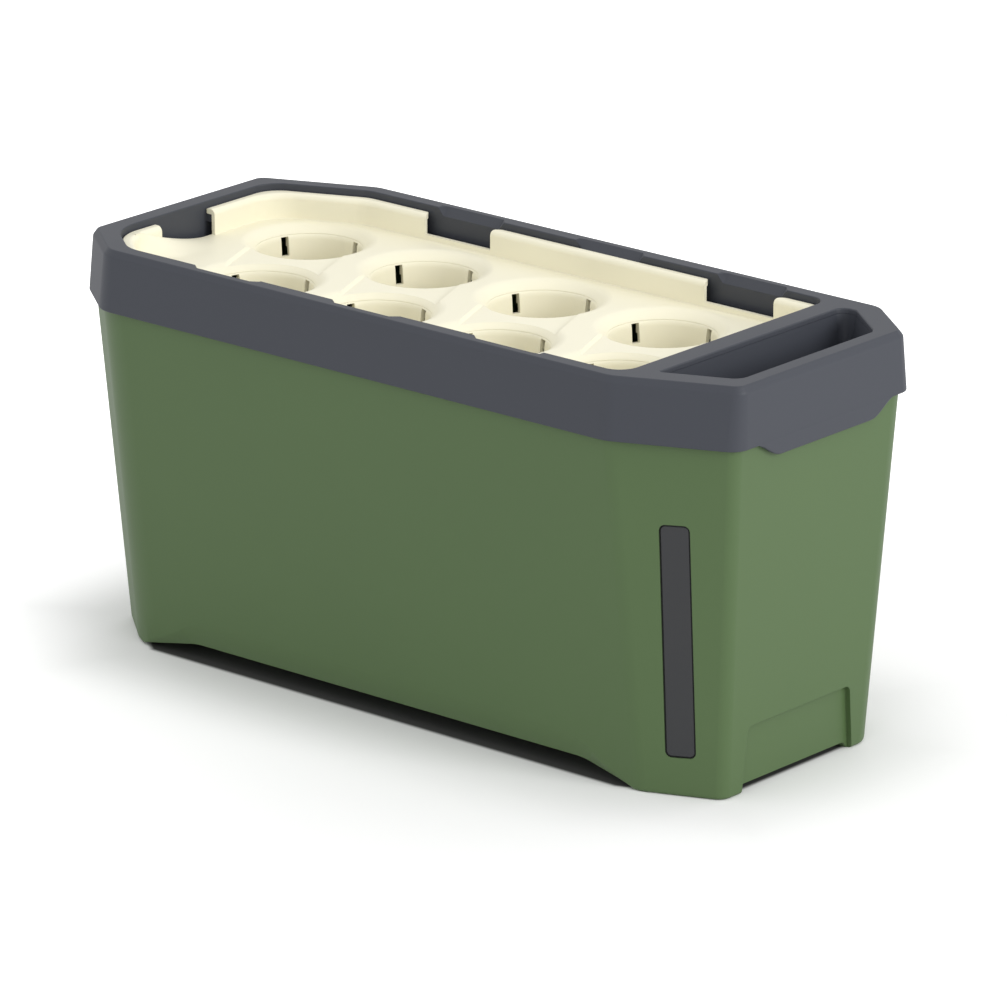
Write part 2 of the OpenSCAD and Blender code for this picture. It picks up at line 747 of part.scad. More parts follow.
module trough_basin() color(slate) {
    difference() {
        loft([trough_ring(trough_draft - trough_wall, trough_floor - trough_wall),
            trough_ring(-trough_wall, land_underside)]);
        trough_inside();
        translate([(partition_far + half_l - trough_inset_end) / 2, 0, trough_floor + over])
            rotate(90) plate(filler_length, filler_width, filler_width / 2 - least_r,
                trough_wall + 2 * over);
    }
}
module rim_collar() color(slate) {
    inner_base = planter_height - inner_skirt_height;
    difference() {
        union() {
            difference() {
                loft([at_height(skirt_ring(0, 0), collar_base),
                    at_height(skirt_ring(skirt_draft, skirt_draft_end), bevel_base),
                    at_height(skirt_ring(land_inset, land_inset_end), planter_height)]);
                loft([at_height(skirt_ring(skirt_wall, skirt_wall), collar_base - over),
                    at_height(skirt_ring(skirt_inner, skirt_inner), land_underside)]);
            }
            both_ends() grip_lip();
            loft([opening_ring(-inner_wall, inner_base), opening_ring(-inner_wall, land_core)]);
        }
        loft([opening_ring(0, inner_base - over), opening_ring(0, planter_height + over)]);
        trough_inside();
        both_ends() notches();
    }
}

// Planting insert

wall_radii = [15, 12, 44, 40, 46, 44];
insert_top = planter_height - flange_drop;
deck_top = insert_top - deck_drop;
throat_z = deck_top - mouth_depth;
cup_floor_z = throat_z - cup_depth;
leg_foot = floor_top + leg_gap;
wall_outer = flange_gap + flange_overhang;
wall_inner = wall_outer + insert_wall;
well_pitch = (partition_near - well_margin_partition - opening_end - well_margin_end - row_stagger)
    / (wells_per_row - 1);
row_pitch = 2 * (opening_half - row_margin);
roll_share = 0.3;
mouth_r = (min(well_pitch, norm([row_stagger, row_pitch])) - well_web) / 2;
throat_r = mouth_r - mouth_width;
cup_floor_r = throat_r - cup_draft;

function well_place(row, i) =
    [rows_x - row * row_stagger / 2 + (i - (wells_per_row - 1) / 2) * well_pitch, row * row_pitch / 2];
module each_well() {
    for (row = [-1, 1], i = [0 : wells_per_row - 1])
        let(q = well_place(row, i)) translate([q[0], q[1], 0]) children();
}
socket_r = throat_r + cup_wall + slide_clear;
// The mouth under the deck and the socket that a cup pushes into
module mouth_outside() {
    foot = throat_z - socket_height;
    rotate_extrude() polygon([[0, foot], [socket_r + socket_wall, foot], [socket_r + socket_wall, throat_z],
        [mouth_r + cup_wall / 2, deck_top - deck_wall / 2], [0, deck_top - deck_wall / 2]]);
}
module mouth_inside() {
    rotate_extrude() polygon([[0, throat_z - socket_height - over], [socket_r, throat_z - socket_height - over],
        [socket_r, throat_z], [throat_r, throat_z], [mouth_r, deck_top], [mouth_r, deck_top + over],
        [0, deck_top + over]]);
}
module cup_shell() {
    rim = throat_r + cup_wall;
    rotate_extrude() polygon([[0, leg_foot], [leg_r, leg_foot], [leg_r, cup_floor_z - cup_wall],
        [cup_floor_r + cup_wall, cup_floor_z - cup_wall], [rim - clear, throat_z - socket_height],
        [rim, throat_z - socket_height + 2 * over], [rim, throat_z], [throat_r, throat_z],
        [cup_floor_r, cup_floor_z], [leg_r - cup_wall, cup_floor_z], [leg_r - cup_wall, leg_foot + cup_wall],
        [0, leg_foot + cup_wall]]);
}
module cup_slots() {
    for (k = [0 : top_slots - 1])
        rotate(slot_turn + 360 * k / top_slots)
            translate([cup_floor_r, -slot_width / 2, throat_z - slot_height - over])
                cube([throat_r + 2 * cup_wall - cup_floor_r, slot_width, slot_height]);
    for (k = [0 : leg_slots - 1])
        rotate(slot_turn + 360 * k / leg_slots)
            translate([cup_wall, -slot_width / 2, leg_foot + 2 * cup_wall])
                cube([leg_r, slot_width, leg_slot_height]);
}
// The trench in the deck between the two wells of each column
module trenches(t) {
    for (i = [0 : wells_per_row - 1])
        let(a = well_place(-1, i), b = well_place(1, i), run = b - a)
        translate([a[0], a[1], deck_top]) rotate(heading(run)) rotate([90, 0, 90])
            linear_extrude(norm(run))
                polygon([[-trench_half, -trench_depth - t], [trench_half, -trench_depth - t],
                    [trench_half + trench_depth + over, over - t],
                    [-trench_half - trench_depth - over, over - t]]);
}
module lifting_gap(x) {
    translate([x - gap_length / 2, opening_half - wall_inner - over, deck_top + gap_sill])
        cube([gap_length, wall_inner + 2 * over, deck_drop]);
}
// The pouring ramp: rings across it from its level end, along the wall and into the corner
pour_steps = 10;
pour_level_share = 0.85;
pour_corner_share = 0.5;
pour_curve = 1.5;
pour_low = -pour_gap_middle - pour_gap_length / 2;
pour_x = opening_end + wall_inner;
function pour_lift(share) =
    min(deck_drop - flange_wall / 2, pour_rise * pow(max(0, 1 - share / pour_level_share), pour_curve));
function pour_ring(share) =
    let(y = pour_low + pour_gap_length * share, h = pour_lift(share), low = deck_top - deck_wall / 2,
        run = pour_run * min(1, 1 + share / (pour_corner_share + slide_clear)),
        back = pour_x - insert_wall, knee = pour_x + clear, front = pour_x + run)
    [[back, y, low], [front, y, low], [front, y, deck_top],
        [(knee + front) / 2, y, deck_top + h / 4], [knee, y, deck_top + h], [back, y, deck_top + h]];
module pouring_ramp() {
    loft([for (k = [pour_steps : -1 : -pour_corner_share * pour_steps]) pour_ring(k / pour_steps)]);
}
module pouring_gap() {
    translate([pour_x - wall_inner - over, pour_low, deck_top])
        cube([wall_inner + 2 * over, pour_gap_length, deck_drop + over]);
}
module planting_insert() color(cream) {
    difference() {
        union() {
            loft([opening_ring(flange_gap, lug_top), opening_ring(flange_gap, insert_top)]);
            loft([opening_like(wall_outer, deck_top - deck_wall, wall_radii),
                opening_like(wall_outer, lug_top + over, wall_radii)]);
            trenches(deck_wall);
            each_well() mouth_outside();
        }
        loft([opening_like(wall_inner, deck_top, wall_radii),
            opening_like(wall_inner, insert_top - flange_roll, wall_radii),
            opening_like(wall_inner - flange_roll * roll_share, insert_top - flange_roll * roll_share, wall_radii),
            opening_like(wall_inner - flange_roll, insert_top, wall_radii),
            opening_like(wall_inner - flange_roll, insert_top + over, wall_radii)]);
        trenches(0);
        each_well() {
            mouth_inside();
            cup_slots();
        }
        on_both_sides() for (x = gap_places) lifting_gap(x);
        pouring_gap();
    }
    pouring_ramp();
}
module well_cups() color(cream) {
    each_well() difference() {
        cup_shell();
        cup_slots();
    }
}

planter_body();
rim_collar();
trough_basin();
flange_lugs();
planting_insert();
well_cups();
level_window();
window_seal();
window_frame();
frame_screws();
level_float();
drain_plug();
plug_seal();
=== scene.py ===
import math

import bmesh
import bpy
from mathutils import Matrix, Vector


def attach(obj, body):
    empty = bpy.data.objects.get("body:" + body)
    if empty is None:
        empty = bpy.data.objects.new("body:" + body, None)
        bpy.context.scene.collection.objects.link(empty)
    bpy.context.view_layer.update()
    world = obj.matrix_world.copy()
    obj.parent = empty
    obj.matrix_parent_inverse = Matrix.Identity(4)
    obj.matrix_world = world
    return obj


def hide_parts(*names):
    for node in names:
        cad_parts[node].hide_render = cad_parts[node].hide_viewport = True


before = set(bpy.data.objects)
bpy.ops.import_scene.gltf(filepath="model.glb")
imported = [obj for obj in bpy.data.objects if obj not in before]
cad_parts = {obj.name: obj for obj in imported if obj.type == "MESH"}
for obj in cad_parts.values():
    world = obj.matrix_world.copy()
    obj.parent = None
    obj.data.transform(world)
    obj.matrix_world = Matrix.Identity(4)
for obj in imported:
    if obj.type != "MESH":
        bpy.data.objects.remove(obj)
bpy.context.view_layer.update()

# Water box
# The green box that holds the water: one thin moulding in matt plastic, drafted so that it
# leaves its mould. Both ends are alike after half a turn, and each side stands over an arch.
length, width, height = 600, 259, 297
shoulder = 252.8
foot_inset_end, foot_inset_side = 12, 17
overhang = 4.5
box_wall = 3.5
floor_top = 17
arch_height = 12
corner_steps = 12
least_radius = 0.5


def inset_corner(a, b, c, s, t):
    m, n = (b - a).normalized(), (c - b).normalized()
    m, n = Vector((-m.y, m.x)), Vector((-n.y, n.x))
    turn = m.x * n.y - m.y * n.x
    return b + Vector((s * n.y - t * m.y, t * m.x - s * n.x)) / turn


def inset(outline, shifts):
    n = len(outline)
    return [inset_corner(outline[i - 1], outline[i], outline[(i + 1) % n], shifts[i - 1], shifts[i])
            for i in range(n)]


def rounded(outline, radii, steps=corner_steps):
    points = []
    for i, (corner, radius) in enumerate(zip(outline, radii)):
        before, after = outline[i - 1], outline[(i + 1) % len(outline)]
        radius = max(radius, least_radius)
        middle = inset_corner(before, corner, after, radius, radius)
        a, b = corner - before, after - corner
        start = math.atan2(-a.x, a.y)
        sweep = (math.atan2(-b.x, b.y) - start) % math.tau
        for k in range(steps + 1):
            angle = start + sweep * k / steps
            points.append(middle + radius * Vector((math.cos(angle), math.sin(angle))))
    return [Vector((p.x, p.y)) for p in points]


def half_turn(points):
    return [Vector((-p[0], -p[1], *p[2:])) for p in points]


def chamfered_plan(reach, half, long_run, long_rise, short_run, short_rise):
    right = [Vector(p) for p in ((reach - long_run, -half), (reach, long_rise - half),
                                 (reach, half - short_rise), (reach - short_run, half))]
    return right + half_turn(right)


def flat(outline, z):
    return [Vector((p.x, p.y, z)) for p in outline]


def loft(rings):
    shell = bmesh.new()
    loops = [[shell.verts.new(Vector(point) / 1000) for point in ring] for ring in rings]
    for low, high in zip(loops, loops[1:]):
        for i in range(len(low)):
            j = (i + 1) % len(low)
            shell.faces.new((low[i], low[j], high[j], high[i]))
    shell.faces.new(loops[0][::-1])
    shell.faces.new(loops[-1])
    mesh = bpy.data.meshes.new("loft")
    shell.to_mesh(mesh)
    shell.free()
    solid = bpy.data.objects.new("loft", mesh)
    bpy.context.scene.collection.objects.link(solid)
    return solid


def block(low, high):
    (x0, y0, z0), (x1, y1, z1) = low, high
    return loft([[(x0, y0, z), (x1, y0, z), (x1, y1, z), (x0, y1, z)] for z in (z0, z1)])


def plain_mesh(solid):
    solid_now = solid.evaluated_get(bpy.context.evaluated_depsgraph_get())
    mesh = bpy.data.meshes.new_from_object(solid_now)
    solid.modifiers.clear()
    solid.data = mesh
    return solid


def joined(solid, others, how):
    for other in others:
        step = solid.modifiers.new(how.lower(), "BOOLEAN")
        step.operation = how
        step.solver = "EXACT"
        step.object = other
    plain_mesh(solid)
    for other in others:
        bpy.data.objects.remove(other)


def moulded(name, colour, shade, roughness, grain=1800, grain_depth=0.00002, edge=0.0006):
    """Moulded plastic: a slow drift of shade, a fine mould grain, and edges broken by the mould."""
    finish = bpy.data.materials.new(name)
    finish.use_nodes = True
    nodes, links = finish.node_tree.nodes, finish.node_tree.links
    skin = nodes["Principled BSDF"]
    skin.inputs["Specular IOR Level"].default_value = 0.35
    place = nodes.new("ShaderNodeTexCoord").outputs["Object"]
    drift = nodes.new("ShaderNodeTexNoise")
    drift.inputs["Scale"].default_value = 9
    drift.inputs["Detail"].default_value = 4
    mould_grain = nodes.new("ShaderNodeTexNoise")
    mould_grain.inputs["Scale"].default_value = grain
    mould_grain.inputs["Detail"].default_value = 2
    tint = nodes.new("ShaderNodeMix")
    tint.data_type = "RGBA"
    tint.inputs["A"].default_value = (*shade, 1)
    tint.inputs["B"].default_value = (*colour, 1)
    gloss = nodes.new("ShaderNodeMapRange")
    gloss.inputs["To Min"].default_value = roughness - 0.05
    gloss.inputs["To Max"].default_value = roughness + 0.05
    broken_edge = nodes.new("ShaderNodeBevel")
    broken_edge.samples = 4
    broken_edge.inputs["Radius"].default_value = edge
    relief = nodes.new("ShaderNodeBump")
    relief.inputs["Strength"].default_value = 0.5
    relief.inputs["Distance"].default_value = grain_depth
    links.new(place, drift.inputs["Vector"])
    links.new(place, mould_grain.inputs["Vector"])
    links.new(drift.outputs["Fac"], tint.inputs["Factor"])
    links.new(tint.outputs["Result"], skin.inputs["Base Color"])
    links.new(drift.outputs["Fac"], gloss.inputs["Value"])
    links.new(gloss.outputs["Result"], skin.inputs["Roughness"])
    links.new(mould_grain.outputs["Fac"], relief.inputs["Height"])
    links.new(broken_edge.outputs["Normal"], relief.inputs["Normal"])
    links.new(relief.outputs["Normal"], skin.inputs["Normal"])
    return finish


def finished(solid, name, material, body, *stands_for, smooth_to=32):
    mesh = solid.data
    mesh.materials.clear()
    mesh.materials.append(material)
    fair = bmesh.new()
    fair.from_mesh(mesh)
    bmesh.ops.remove_doubles(fair, verts=fair.verts, dist=0.000002)
    bmesh.ops.dissolve_degenerate(fair, edges=fair.edges, dist=0.000002)
    for face in fair.faces:
        face.smooth = True
        face.material_index = 0
    fair.to_mesh(mesh)
    fair.free()
    mesh.set_sharp_from_angle(angle=math.radians(smooth_to))
    even = solid.modifiers.new("even shading", "WEIGHTED_NORMAL")
    even.keep_sharp = True
    even.weight = 90
    solid.name = mesh.name = name
    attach(solid, body)
    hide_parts(*stands_for)


skirt_long_run, skirt_long_rise = 86.4, 37.5
skirt_short_run, skirt_short_rise = 46.6, 36
skirt_plan = chamfered_plan(length / 2, width / 2, skirt_long_run, skirt_long_rise,
                            skirt_short_run, skirt_short_rise)
foot_long_run, foot_long_rise = 56, 23
foot_short_run, foot_short_rise = 53, 45.5
foot_plan = chamfered_plan(length / 2 - foot_inset_end, width / 2 - foot_inset_side,
                           foot_long_run, foot_long_rise, foot_short_run, foot_short_rise)
shoulder_plan = inset(skirt_plan, [overhang] * 8)
collar_radii = [34, 15, 15, 26] * 2
box_radii = [34, 15, 25, 50] * 2


def collar_outline(side, end):
    return rounded(inset(skirt_plan, [side, end, side, side] * 2), [r - side for r in collar_radii])


def box_ring(z, t):
    share = z / shoulder
    plan = [a.lerp(b, share) for a, b in zip(foot_plan, shoulder_plan)]
    return flat(rounded(inset(plan, [t] * 8), [r - overhang - t for r in box_radii]), z)


skirt_draft, skirt_wall, push_fit = 3.8, 3.2, 0.6
neck_outer = skirt_draft + skirt_wall + push_fit
neck_inner = neck_outer + box_wall
neck_foot = shoulder - 2 * box_wall
land_thick = 3.5
land_underside = height - land_thick
foot_round = 3
rise_steps = 10
box = loft(
    [box_ring(foot_round * (1 - math.cos(a)), foot_round * (1 - math.sin(a)))
     for a in (math.radians(90 * k / 6) for k in range(7))]
    + [box_ring(foot_round + (shoulder - foot_round) * k / rise_steps, 0)
       for k in range(1, rise_steps + 1)])
neck = loft([flat(collar_outline(neck_outer, neck_outer), z) for z in (neck_foot, land_underside)])
joined(box, [neck], "UNION")

arch_reach = length / 2 - foot_inset_end - foot_long_run
arch_past_short = 14
arch_far = length / 2 - foot_inset_end - foot_short_run + arch_past_short
arch_run, arch_far_run, arch_round = 53, 66, 60


def arch_ring(lift, spread, y, turn=1):
    corners = [(-arch_far - spread, -1), (arch_reach + spread, -1),
               (arch_reach - arch_run + spread, arch_height + lift),
               (arch_far_run - arch_far - spread, arch_height + lift)]
    outline = rounded([Vector(q) for q in corners], [0, 0, arch_round, arch_round])
    if turn < 0:
        outline = [Vector((-q.x, q.y)) for q in outline[::-1]]
        outline = outline[-2 * corner_steps - 2:] + outline[:-2 * corner_steps - 2]
    return [Vector((q.x, y, q.y)) for q in outline]


side_lean = (foot_inset_side - overhang) / shoulder
tuck_height, tuck_depth = 24, 5
tuck_face = width / 2 - foot_inset_side + side_lean * (arch_height + tuck_height)
tuck_r = (tuck_height ** 2 + tuck_depth ** 2) / (2 * tuck_depth)
tuck_sweep = math.asin(tuck_height / tuck_r)


def tuck(t, steps=12):
    rings = [arch_ring(tuck_height - tuck_r * math.sin(a) + t, t,
                       tuck_r * (1 - math.cos(a)) - tuck_face + t)
             for a in (tuck_sweep * k / steps for k in range(steps, -1, -1))]
    rings.append(arch_ring(tuck_height + t, t, -tuck_face - box_wall))
    return [loft(rings), loft([half_turn(ring) for ring in rings])]


recess_depth, recess_top, recess_round = 4, 48, 5
recess_margin_long, recess_margin_short = 19, 16
recess_low = recess_margin_long + foot_long_rise - (width / 2 - foot_inset_side)
recess_high = width / 2 - foot_inset_side - foot_short_rise - recess_margin_short
recess_middle = (recess_low + recess_high) / 2
end_lean = (foot_inset_end - overhang) / shoulder


def recess(depth, grow, top):
    corners = [(recess_low - grow, -1), (recess_high + grow, -1),
               (recess_high - recess_round + grow, top + grow),
               (recess_low + recess_round - grow, top + grow)]
    outline = rounded([Vector(q) for q in corners], [0, 0, recess_round, recess_round])
    back = length / 2 - foot_inset_end - depth
    rings = [[Vector((back + out + end_lean * q.y, q.x, q.y)) for q in outline]
             for out in (0, depth + 1)]
    return [loft(rings), loft([half_turn(ring) for ring in rings])]


inside = loft([box_ring(floor_top + (neck_foot - floor_top) * k / 4, box_wall) for k in range(5)]
              + [flat(collar_outline(neck_inner, neck_inner), z)
                 for z in (shoulder, land_underside + 1)])
joined(inside, tuck(box_wall) + recess(recess_depth + box_wall, box_wall, recess_top), "DIFFERENCE")

tunnel_y = tuck_face - tuck_depth + 1
tunnel = loft([arch_ring(0, 0, tunnel_y, -1), arch_ring(0, 0, -tunnel_y)])
foot_wall = 5
foot_x = arch_reach + foot_wall
recess_foot_depth, recess_foot_top = 14, 5
hollows = []
for turn in (1, -1):
    hollow = loft([flat(box_ring(foot_round, foot_wall), z) for z in (-1, arch_height)])
    end = [block((foot_x, -width / 2, -2), (length / 2, width / 2, 20)) if turn > 0
           else block((-length / 2, -width / 2, -2), (-foot_x, width / 2, 20))]
    joined(hollow, end, "INTERSECT")
    spare = recess(recess_depth + foot_wall, foot_wall, recess_top)
    ribs = [block((foot_x - 1, y - box_wall / 2, -2), (length / 2, y + box_wall / 2, 14)) if turn > 0
            else block((-length / 2, -y - box_wall / 2, -2), (1 - foot_x, -y + box_wall / 2, 14))
            for y in (recess_low, recess_high)]
    joined(hollow, spare + ribs, "DIFFERENCE")
    hollows.append(hollow)
joined(box, [inside] + tuck(0) + recess(recess_depth, 0, recess_top)
       + recess(recess_foot_depth, 0, recess_foot_top) + [tunnel] + hollows, "DIFFERENCE")

# The window's seat is a flat pad behind the wall, with the slot cut through both. The drain's
# pad is behind the recess of the other end.
window_base, window_w, window_h, window_r = 28, 22, 167.5, 4.5
window_flange, flange_round = 3.8, 8.3
window_z = window_base + window_h / 2


def chamfer_middle(z):
    plan = [a.lerp(b, z / shoulder) for a, b in zip(foot_plan, shoulder_plan)]
    middle = (plan[0] + plan[1]) / 2
    return Vector((middle.x, middle.y, z)), (plan[1] - plan[0]).to_3d()


window_at, level = chamfer_middle(window_z)
up = (chamfer_middle(window_base + window_h)[0] - chamfer_middle(window_base)[0]).normalized()
out = level.cross(up).normalized()
along = up.cross(out)


def on_chamfer(points):
    return [window_at + along * p[0] + up * p[1] + out * p[2] for p in points]


def plate_ring(w, h, r, z):
    corners = [Vector((x * w / 2, y * h / 2)) for x, y in ((-1, -1), (1, -1), (1, 1), (-1, 1))]
    return on_chamfer([(p.x, p.y, z) for p in rounded(corners, [r] * 4, 8)])


flange_w, flange_h = window_w + 2 * window_flange, window_h + 2 * window_flange
seat_side, seat_end, seat_back = 8, 4.4, -7
seat_w, seat_h = flange_w + 2 * seat_side, flange_h + 2 * seat_end
seat = loft([plate_ring(seat_w, seat_h, 3.5, z) for z in (seat_back, -box_wall / 2)])
slot = loft([plate_ring(window_w, window_h, window_r, z) for z in (-12, -0.7, 0)]
            + [plate_ring(window_w + 2 * 5, window_h + 2 * 5, window_r + 5, 5)])
plug_z = 30
plug_face = -(length / 2 - foot_inset_end + end_lean * plug_z - recess_depth - 1)
bore_r, face_r, pad_r, pad_depth = 7.08, 13, 12, 12


def plug_ring(r, x):
    return [Vector((x, -recess_middle + r * math.cos(a), plug_z + r * math.sin(a)))
            for a in (math.tau * k / 48 for k in range(48))]


pad = loft([plug_ring(pad_r, plug_face + x) for x in (1, pad_depth)])
pad_foot = block((plug_face + 1, -recess_middle - 7, floor_top - 1),
                 (plug_face + pad_depth, -recess_middle + 7, plug_z))
bore = loft([plug_ring(bore_r, plug_face + x) for x in (-5, pad_depth + 5)])
face_cut = loft([plug_ring(face_r, plug_face + x) for x in (-5, 0)])
joined(box, [seat, pad, pad_foot], "UNION")
joined(box, [slot, bore, face_cut], "DIFFERENCE")
green = moulded("green_plastic", (0.083, 0.139, 0.053), (0.077, 0.130, 0.049), 0.46)
finished(box, "water_box", green, "box", "planter_body")

# Collar
# The slate rim that pushes on over the box's neck: a drafted skirt, a sloped edge and a flat
# land round the opening, with a trough for filling at one end and a grip lip at both.
skirt_foot, bevel_foot = 252.5, 292.5
skirt_draft_end, land_inset, land_inset_end = 1, 7.2, 4.2
hem, hem_round, bevel_round = 1.6, 0.9, 1.1


def softened(profile, sizes, steps=4):
    """A profile with its corners rounded: each corner is a curve that starts its size before it."""
    points = [Vector(profile[0])]
    for i in range(1, len(profile) - 1):
        a, b, c = (Vector(profile[i + k]) for k in (-1, 0, 1))
        start = b + (a - b).normalized() * sizes[i - 1]
        stop = b + (c - b).normalized() * sizes[i - 1]
        for k in range(steps + 1):
            s = k / steps
            points.append(start.lerp(b, s).lerp(b.lerp(stop, s), s))
    points.append(Vector(profile[-1]))
    return points


skirt_profile = softened([(hem, hem, skirt_foot), (0, 0, skirt_foot),
                          (skirt_draft, skirt_draft_end, bevel_foot),
                          (land_inset, land_inset_end, height),
                          (land_inset + 3, land_inset_end + 3, height)],
                         [hem_round, bevel_round, bevel_round])
collar = loft([flat(collar_outline(p.x, p.y), p.z) for p in skirt_profile])
skirt_inside = skirt_draft + skirt_wall
under = loft([flat(collar_outline(skirt_wall, skirt_wall), skirt_foot - 1),
              flat(collar_outline(skirt_inside, skirt_inside), land_underside)])
joined(collar, [under], "DIFFERENCE")

trough_length, partition_thick = 68, 18
partition_far = length / 2 - trough_length
partition_near = partition_far - partition_thick
opening_inset, opening_inset_end, opening_inset_short = 18.5, 18, 21
opening_end = opening_inset_end - length / 2
opening_half = width / 2 - opening_inset


def opening_ring(t, z, radii=(15, 12, 28, 24, 38, 30)):
    side, end = opening_inset + t, opening_inset_end + t
    p = inset(skirt_plan, [side, end, side, side, side, end, opening_inset_short + t, side])
    x, y = partition_near - t, opening_half - t
    corners = [Vector((x, -y)), Vector((x, y)), p[4], p[5], p[6], p[7]]
    return flat(rounded(corners, [r - t for r in radii]), z)


def edge_y(a, b, t, x):
    d = (b - a).normalized()
    q = a + t * Vector((-d.y, d.x))
    return q.y + (x - q.x) * (b.y - a.y) / (b.x - a.x)


trough_inset, trough_inset_end, trough_draft, trough_wall = 25, 16, 7, 2.8


def trough_ring(t, z):
    side, end, x = trough_inset + t, trough_inset_end + t, partition_far + t
    p = inset(skirt_plan, [side, end, side, side] * 2)
    corners = [Vector((x, edge_y(skirt_plan[0], skirt_plan[1], side, x))), p[1], p[2], p[3],
               Vector((x, width / 2 - side))]
    return flat(rounded(corners, [max(r - t, 1.5) for r in (1.2, 11, 11, 6, 8)]), z)


lip_drop, lip_low, lip_high, lip_shift, lip_round = 11.5, 49, 77, 3.5, 1.2
flank = [(lip_low + (lip_high - lip_low) * k / 24, lip_drop * (1 - math.cos(math.pi * k / 24)) / 2)
         for k in range(25)]
lip_outline = flank + [(y, lip_drop + 1) for y in (lip_high, -lip_high)]
lip_outline += [(-y, z) for y, z in flank[::-1]]


def lip_ring(x, t):
    lip_foot = skirt_foot - lip_drop
    return [Vector((x, y * (1 - t / lip_high) + lip_shift, lip_foot + min(z + t, lip_drop + 1)))
            for y, z in lip_outline]


lip_rings = [lip_ring(length / 2 - skirt_wall, 0)]
lip_rings += [lip_ring(length / 2 - lip_round * (1 - math.sin(a)), lip_round * (1 - math.cos(a)))
              for a in (math.pi / 2 * k / 4 for k in range(5))]
inner_foot = height - 33
trough_floor = height - 46
land_core = height - land_thick / 2
opening_wall = 3
ring_wall = loft([opening_ring(-opening_wall, z) for z in (inner_foot, land_core)])
trough = loft([trough_ring(trough_draft - trough_wall, trough_floor - trough_wall),
               trough_ring(-trough_wall, land_core)])
lips = [loft(lip_rings), loft([half_turn(ring) for ring in lip_rings])]
joined(collar, lips + [ring_wall, trough], "UNION")


def lip_of_cut(ring, r, steps=4):
    """The cut's last rings, which break the land's edge with radius r."""
    return [ring(r * (math.cos(a) - 1), height - r + r * math.sin(a))
            for a in (math.pi / 2 * k / steps for k in range(steps + 1))] + [ring(-r, height + 1)]


opening = loft([opening_ring(0, inner_foot - 1)] + lip_of_cut(opening_ring, 0.9))
basin_round = 3
basin_foot = [trough_ring(trough_draft + basin_round * (1 - math.sin(a)),
                          trough_floor + basin_round * (1 - math.cos(a)))
              for a in (math.pi / 2 * k / 5 for k in range(6))]
basin = loft(basin_foot + lip_of_cut(trough_ring, 1.2))
notch_places, notch_foot, notch_reach = (-147.3, -17.3, 112.7), height - 6, 5.8
notches = []
for x in notch_places:
    rings = [[Vector(q) for q in ((x - 26, -y, foot), (x + 26, -y, foot),
                                  (x + 33, -y, height + 1), (x - 33, -y, height + 1))]
             for y, foot in ((opening_half - 1, notch_foot - 1), (opening_half + notch_reach, height))]
    notches += [loft(rings), loft([half_turn(ring) for ring in rings])]
filler_x = (partition_far + length / 2 - trough_inset_end) / 2
filler_corners = [Vector((filler_x + x, y)) for x, y in ((-11, -30), (11, -30), (11, 30), (-11, 30))]
filler_outline = rounded(filler_corners, [10.5] * 4)
filler = loft([flat(filler_outline, z) for z in (trough_floor - 4, trough_floor + 1)])
joined(collar, [opening, basin, filler] + notches, "DIFFERENCE")

# Lugs under the insert's flange stand at both ends of each of its gaps.
flange_drop, flange_thick = 4.8, 4
lug_top = height - flange_drop - flange_thick
lug_half, lug_deep, lug_reach, lug_root = 9, 6, 5.7, 1.5
first_well, last_well = 69.2, 57.3
gap_places = [partition_near - 71.6, opening_end + 163.7]
gap_half = 31
pour_lugs_middle, pour_lugs_apart = -15.9, 74.7
rows_x = (opening_end + first_well + partition_near - last_well) / 2


def side_lug(x, side):
    low, high = sorted(side * (opening_half + reach) for reach in (-lug_reach, lug_root))
    return block((x - lug_half, low, lug_top - lug_deep), (x + lug_half, high, lug_top))


def end_lug(y, low, high):
    return block((low, y - lug_half, lug_top - lug_deep), (high, y + lug_half, lug_top))


lugs = []
for gap in gap_places:
    for x in (gap - gap_half - 2 * lug_half, gap + gap_half + 2 * lug_half):
        lugs += [side_lug(x, 1), side_lug(2 * rows_x - x, -1)]
for side in (-1, 1):
    lugs.append(end_lug(side * pour_lugs_apart / 2 + pour_lugs_middle,
                        opening_end - lug_root, opening_end + lug_reach))
    lugs.append(end_lug(side * opening_half / 2, partition_near - lug_reach, partition_near + lug_root))
inside_collar = loft([opening_ring(-1, z) for z in (lug_top - lug_deep - 1, lug_top + 1)])
joined(lugs[0], lugs[1:], "UNION")
joined(lugs[0], [inside_collar], "INTERSECT")
joined(collar, lugs[:1], "UNION")
slate = moulded("slate_plastic", (0.050, 0.055, 0.069), (0.046, 0.050, 0.063), 0.5)
finished(collar, "rim_collar_dressed", slate, "box", "rim_collar", "trough_basin", "flange_lugs")

# Planting insert
# The cream tray that lifts out: one satin moulding with a rolled flange, a deck and a sloped
# mouth for each well. Under the deck each mouth has a socket, and its cup pushes into that.
insert_top = height - flange_drop
deck_drop, mouth_deep, cup_deep = 18.8, 6.8, 112
deck_top = insert_top - deck_drop
throat_z = deck_top - mouth_deep
cup_floor = throat_z - cup_deep
leg_foot = floor_top + 5
wall_outer, wall_inner = 6, 9
wall_radii = (15, 12, 44, 40, 46, 44)
per_row, stagger, row_inset, mouth_gap = 4, 38, 63.8, 9.8
well_pitch = (partition_near - last_well - opening_end - first_well - stagger) / (per_row - 1)
row_distance = 2 * (opening_half - row_inset)
mouth_slope, cup_draft = 8, 10
mouth_r = (math.hypot(stagger, row_distance) - mouth_gap) / 2
throat_r = mouth_r - mouth_slope
cup_floor_r = throat_r - cup_draft
leg_r = 14


def turned(profile, steps=96):
    turns = [math.tau * k / steps for k in range(steps)]
    return loft([[Vector((r * math.cos(a), r * math.sin(a), z)) for a in turns] for r, z in profile])


